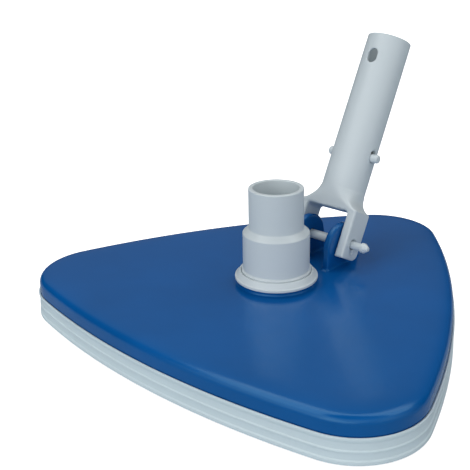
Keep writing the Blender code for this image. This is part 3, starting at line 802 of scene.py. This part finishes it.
def finished(obj, slot, body, *nodes, sharp=32.0, weighted=False):
    """Scales a piece to metres, shades it, gives it its material and hangs it on its body."""
    obj.data.transform(Matrix.Scale(MM, 4))
    obj.data.materials.clear()
    obj.data.materials.append(BY_SLOT[slot])
    obj.data.shade_smooth()
    obj.data.set_sharp_from_angle(angle=math.radians(sharp))
    if weighted:
        step = obj.modifiers.new("even_shading", "WEIGHTED_NORMAL")
        step.weight = 80
        step.keep_sharp = True
    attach(obj, body)
    if nodes:
        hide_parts(*nodes)


# ---------------------------------------------------------------- assembly

finished(make_cover(), "blue_shell", "head", "top_cover", weighted=True)
finished(make_skirt(), "skirt_vinyl", "head", "bumper", sharp=50)
finished(make_cuff(), "grey_plastic", "hose", "hose_cuff")
finished(make_collar(), "grey_plastic", "head", "swivel_collar")
finished(make_pin(), "grey_plastic", "head", "pivot_pin")
finished(make_fork(), "grey_plastic", "handle", "handle_fork", sharp=60)
finished(make_button(-1), "grey_plastic", "clip_left", "clip_button_left")
finished(make_button(1), "grey_plastic", "clip_right", "clip_button_right")
finished(make_spring("spring_bend", "clip_bend"), "stainless", "handle", "clip_bend")
finished(make_spring("spring_arm_left", "clip_arm_left"), "stainless", "clip_left", "clip_arm_left")
finished(make_spring("spring_arm_right", "clip_arm_right"), "stainless", "clip_right",
         "clip_arm_right")
finished(make_plate(), "plate_blue", "head", "base_plate")
finished(make_seal(), "seal_rubber", "head", "swivel_seal")
for k in range(3):
    finished(make_weight(k), "ballast_iron", "head", f"ballast_weight_{k + 1}")
    finished(make_screw(f"weight_screw_{k + 1}", weight_screw_places()[k], WEIGHT_SEAT,
                        WEIGHT_SCREW_LENGTH), "stainless", "head", f"ballast_screw_{k + 1}")
    finished(make_brush_back(k), "plate_blue", "head", f"brush_back_{k + 1}")
    finished(make_bristles(k), "bristle_nylon", "head", f"bristle_row_{k + 1}")
for k, place in enumerate(cover_screw_places()):
    finished(make_screw(f"shell_screw_{k + 1}", place, PLATE_FOOT, COVER_SCREW_LENGTH),
             "stainless", "head", f"cover_screw_{k + 1}")

# The frame's own nodes get the same materials.
for part in frame["record"]["subparts"]:
    cad = frame["nodes"][part["node"]]
    cad.data.materials.clear()
    cad.data.materials.append(BY_SLOT[part["material_slot"]])


# ---------------------------------------------------------------- studio

# Soft lights far away all round: (elevation, azimuth, level), in degrees from +X towards +Y.
SOFT_INNER, SOFT_OUTER = math.radians(6), math.radians(34)
SOFT_LIGHTS = [
    (2, 0, 0.52), (2, 252, 0.08), (2, 288, 1.37), (28, 20, 0.39), (28, 100, 0.06), (28, 140, 0.20),
    (28, 260, 1.31), (28, 300, 0.99), (28, 340, 0.50), (52, 0, 0.20), (52, 103, 0.03),
    (52, 154, 0.11)]
# Ceiling panels 3 m up: name, centre in X and Y, size in X and Y, level.
CEILING = 3.0
PANELS = [("left_panel", (-1.26, -0.87), (1.71, 4.26), 2.0),
          ("right_panel", (1.11, 1.65), (3.45, 2.10), 1.8)]
FLOOR_REACH = 3.0
SHOWN_FLOOR, BOUNCE_FLOOR = -0.0006, -0.0007  # heights in metres, just under the bristles

# The camera: degrees round from -Y, up and rolled, then metres from what it looks at.
CAMERA_TURN = (43.42, 21.28, -1.22)
CAMERA_TARGET = Vector((-0.06044, 0.01011, 0.0288))
CAMERA_DISTANCE = 0.53374
CAMERA_LENS, CAMERA_SENSOR, CAMERA_CLIP = 63.35, 36.0, 0.01


def make_floor(name, height, glow, colour):
    corners = [(x * FLOOR_REACH, y * FLOOR_REACH, height)
               for x, y in ((-1, -1), (1, -1), (1, 1), (-1, 1))]
    floor = mesh_object(name, corners, [(0, 1, 2, 3)])
    mat = bpy.data.materials.new(name)
    mat.use_nodes = True
    shader = mat.node_tree.nodes["Principled BSDF"]
    shader.inputs["Base Color"].default_value = (*colour, 1)
    shader.inputs["Roughness"].default_value = 0.9
    shader.inputs["Emission Color"].default_value = (1, 1, 1, 1)
    shader.inputs["Emission Strength"].default_value = glow
    floor.data.materials.append(mat)
    return floor


def make_floors():
    """A white floor that only the camera sees, on a plain one that bounces light."""
    shown = make_floor("studio_floor", SHOWN_FLOOR, 0.8, (0.93, 0.93, 0.93))
    shown.visible_diffuse = shown.visible_glossy = shown.visible_shadow = False
    bounce = make_floor("studio_bounce", BOUNCE_FLOOR, 0.0, (0.36, 0.43, 0.49))
    bounce.visible_camera = False


def make_panel(name, centre, size, level):
    data = bpy.data.lights.new(name, "AREA")
    data.shape = "RECTANGLE"
    data.size, data.size_y = size
    data.energy = level * math.pi * size[0] * size[1]
    obj = bpy.data.objects.new(name, data)
    bpy.context.scene.collection.objects.link(obj)
    obj.location = (*centre, CEILING)
    obj.visible_camera = False


def make_world():
    """White to the camera; to everything else a dark room with the soft lights."""
    world = bpy.data.worlds.new("studio")
    bpy.context.scene.world = world
    world.use_nodes = True
    nodes, link = world.node_tree.nodes, world.node_tree.links.new
    back = nodes["Background"]
    back.inputs["Color"].default_value = (1, 1, 1, 1)
    place = nodes.new("ShaderNodeTexCoord")
    total = None
    for elevation, azimuth, level in SOFT_LIGHTS:
        up, turn = math.radians(elevation), math.radians(azimuth)
        facing = nodes.new("ShaderNodeVectorMath")
        facing.operation = "DOT_PRODUCT"
        facing.inputs[1].default_value = (math.cos(up) * math.cos(turn),
                                          math.cos(up) * math.sin(turn), math.sin(up))
        link(place.outputs["Generated"], facing.inputs[0])
        glow = nodes.new("ShaderNodeMapRange")
        glow.interpolation_type = "SMOOTHSTEP"
        glow.inputs["From Min"].default_value = math.cos(SOFT_OUTER)
        glow.inputs["From Max"].default_value = math.cos(SOFT_INNER)
        glow.inputs["To Max"].default_value = level
        link(facing.outputs["Value"], glow.inputs["Value"])
        if total is not None:
            both = nodes.new("ShaderNodeMath")
            link(total, both.inputs[0])
            link(glow.outputs["Result"], both.inputs[1])
        total = glow.outputs["Result"] if total is None else both.outputs["Value"]
    path = nodes.new("ShaderNodeLightPath")
    seen = nodes.new("ShaderNodeMix")
    link(path.outputs["Is Camera Ray"], seen.inputs["Factor"])
    link(total, seen.inputs["A"])
    seen.inputs["B"].default_value = 1.0
    link(seen.outputs["Result"], back.inputs["Strength"])


def make_camera():
    azimuth, elevation, roll = (math.radians(a) for a in CAMERA_TURN)
    back = Vector((math.sin(azimuth) * math.cos(elevation),
                   -math.cos(azimuth) * math.cos(elevation), math.sin(elevation)))
    right = (-back).cross(Vector((0, 0, 1))).normalized()
    up = right.cross(-back)
    across = right * math.cos(roll) + up * math.sin(roll)
    above = up * math.cos(roll) - right * math.sin(roll)
    data = bpy.data.cameras.new("camera")
    data.lens, data.sensor_width, data.clip_start = CAMERA_LENS, CAMERA_SENSOR, CAMERA_CLIP
    camera = bpy.data.objects.new("camera", data)
    bpy.context.scene.collection.objects.link(camera)
    placed = Matrix((across, above, back)).transposed().to_4x4()
    placed.translation = CAMERA_TARGET + back * CAMERA_DISTANCE
    camera.matrix_world = placed
    bpy.context.scene.camera = camera


make_floors()
make_world()
make_camera()
for panel in PANELS:
    make_panel(*panel)
bpy.context.scene.view_settings.view_transform = "Standard"
